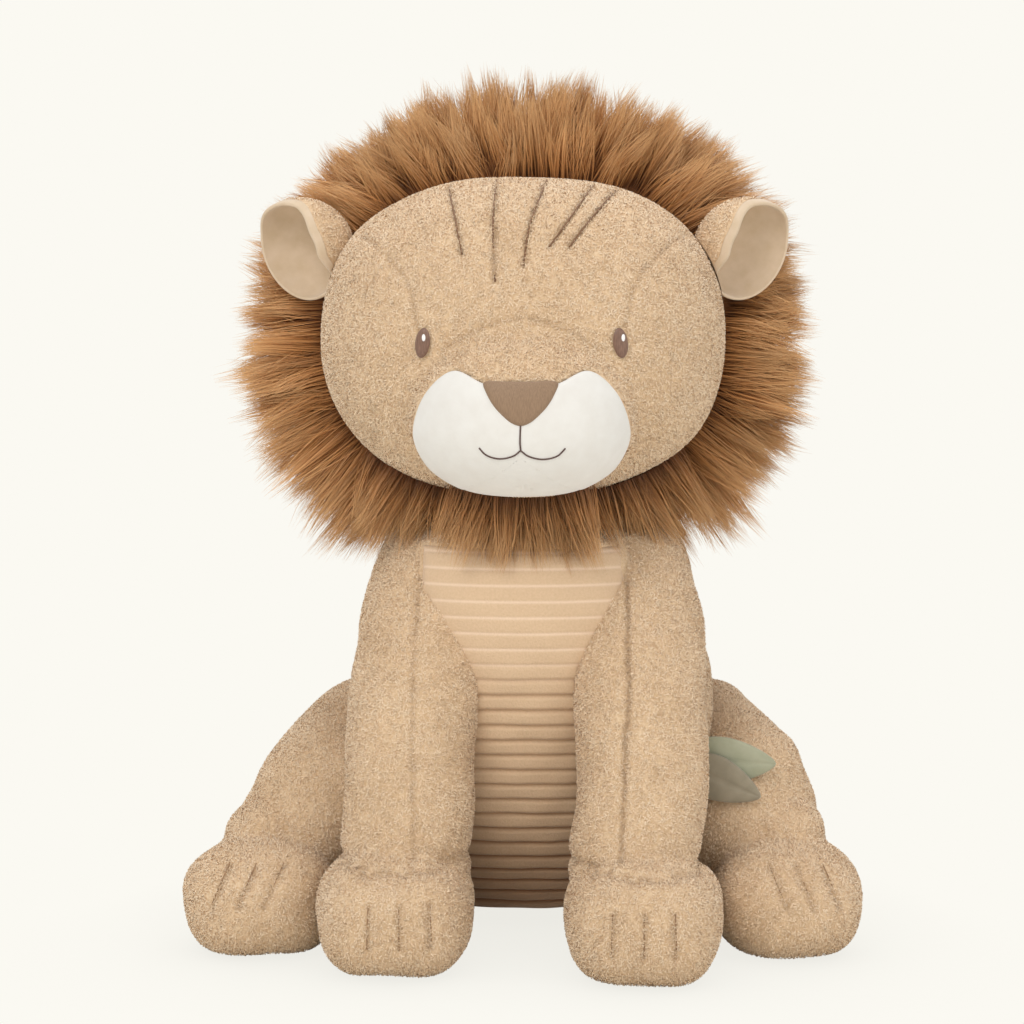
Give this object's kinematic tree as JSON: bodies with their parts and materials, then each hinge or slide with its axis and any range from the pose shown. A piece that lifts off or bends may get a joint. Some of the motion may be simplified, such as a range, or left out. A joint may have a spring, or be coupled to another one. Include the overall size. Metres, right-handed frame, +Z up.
{
  "type": "plush lion",
  "caption": "Large seated plush lion with a long-pile mane, ribbed chest, hooded ears, stuffed legs, and a tail that curls forward to a padded leaf tuft.",
  "frame": {"origin": "centre of the flat seat panel under the torso, on the floor", "axes": "+Z up, the lion looks along -Y, +X to the lion's own left"},
  "size_m": [0.4052, 0.3214, 0.53],
  "materials": {
    "coat": "looped pile, tan",
    "ribbed": "wide ribbed velour, tan",
    "cream": "short velour, off-white",
    "lining": "short velour, beige",
    "fur": "long pile fur, brown with tan tips",
    "brown": "satin stitched embroidery, brown",
    "thread": "embroidery thread, dark brown",
    "white": "embroidery thread, white",
    "stitching": "sewn line sunk in the pile",
    "sage": "short velour, sage green",
    "fibre": "loose polyester fibre filling"
  },
  "bodies": {
    "torso": {"torso_skin": "coat", "chest_panel": "ribbed", "seat_panel": "coat", "torso_fill": "fibre"},
    "neck": {"neck_fill": "fibre"},
    "head": {"face_skin": "coat", "snout_bridge": "coat", "muzzle_panel": "cream", "nose_patch": "brown", "mouth_stitch": "thread", "eye_left": "thread", "eye_left_glint": "white", "eye_right": "thread", "eye_right_glint": "white", "forehead_tuck_1": "stitching", "forehead_tuck_2": "stitching", "forehead_tuck_3": "stitching", "forehead_tuck_4": "stitching", "forehead_tuck_5": "stitching", "mane_ruff": "fur", "mane_back": "fur", "head_fill": "fibre"},
    "ear_left": {"ear_left": "coat", "ear_left_lining": "lining"},
    "ear_right": {"ear_right": "coat", "ear_right_lining": "lining"},
    "front_leg_left": {"front_leg_left_skin": "coat", "front_paw_left_skin": "coat", "front_leg_left_fill": "fibre", "front_paw_left_toe_1": "stitching", "front_paw_left_toe_2": "stitching", "front_paw_left_toe_3": "stitching"},
    "front_leg_right": {"front_leg_right_skin": "coat", "front_paw_right_skin": "coat", "front_leg_right_fill": "fibre", "front_paw_right_toe_1": "stitching", "front_paw_right_toe_2": "stitching", "front_paw_right_toe_3": "stitching"},
    "hind_leg_left": {"hind_leg_left_skin": "coat", "hind_paw_left_skin": "coat", "hind_leg_left_fill": "fibre", "hind_paw_left_toe_1": "stitching", "hind_paw_left_toe_2": "stitching", "hind_paw_left_toe_3": "stitching"},
    "hind_leg_right": {"hind_leg_right_skin": "coat", "hind_paw_right_skin": "coat", "hind_leg_right_fill": "fibre", "hind_paw_right_toe_1": "stitching", "hind_paw_right_toe_2": "stitching", "hind_paw_right_toe_3": "stitching"},
    "tail": {"tail_skin": "coat", "tail_fill": "fibre"},
    "tuft": {"leaf_upper": "sage", "leaf_lower": "sage"}
  },
  "joints": [
    {"name": "head_turn", "type": "hinge", "parent": "torso", "child": "neck", "pos_m": [0, -0.072, 0.272], "axis": [0, 0, 1], "range_deg": [-12, 12], "stiffness_Nm_per_rad": 8},
    {"name": "head_nod", "type": "hinge", "parent": "neck", "child": "head", "pos_m": [0, -0.072, 0.272], "axis": [1, 0, 0], "range_deg": [-6, 6], "stiffness_Nm_per_rad": 8},
    {"name": "ear_left_fold", "type": "hinge", "parent": "head", "child": "ear_left", "pos_m": [0.1139, -0.098, 0.4112], "axis": [-0.3618, 0, 0.9323], "range_deg": [-10, 15], "stiffness_Nm_per_rad": 0.05},
    {"name": "ear_right_fold", "type": "hinge", "parent": "head", "child": "ear_right", "pos_m": [-0.1139, -0.098, 0.4112], "axis": [-0.3618, 0, -0.9323], "range_deg": [-10, 15], "stiffness_Nm_per_rad": 0.05},
    {"name": "front_leg_left_swing", "type": "hinge", "parent": "torso", "child": "front_leg_left", "pos_m": [0.058, -0.058, 0.26], "axis": [-1, 0, 0], "range_deg": [0, 12], "stiffness_Nm_per_rad": 2},
    {"name": "front_leg_right_swing", "type": "hinge", "parent": "torso", "child": "front_leg_right", "pos_m": [-0.058, -0.058, 0.26], "axis": [-1, 0, 0], "range_deg": [0, 12], "stiffness_Nm_per_rad": 2},
    {"name": "hind_leg_left_splay", "type": "hinge", "parent": "torso", "child": "hind_leg_left", "pos_m": [0.045, 0.07, 0], "axis": [0, 0, 1], "range_deg": [0, 8], "stiffness_Nm_per_rad": 2},
    {"name": "hind_leg_right_splay", "type": "hinge", "parent": "torso", "child": "hind_leg_right", "pos_m": [-0.045, 0.07, 0], "axis": [0, 0, -1], "range_deg": [0, 8], "stiffness_Nm_per_rad": 2},
    {"name": "tail_lift", "type": "hinge", "parent": "torso", "child": "tail", "pos_m": [0, 0.0715, 0.062], "axis": [-1, 0, 0], "range_deg": [0, 35]},
    {"name": "tuft_flap", "type": "hinge", "parent": "tail", "child": "tuft", "pos_m": [0.1002, -0.111, 0.108], "axis": [0, 0, -1], "range_deg": [0, 25]}
  ]
}
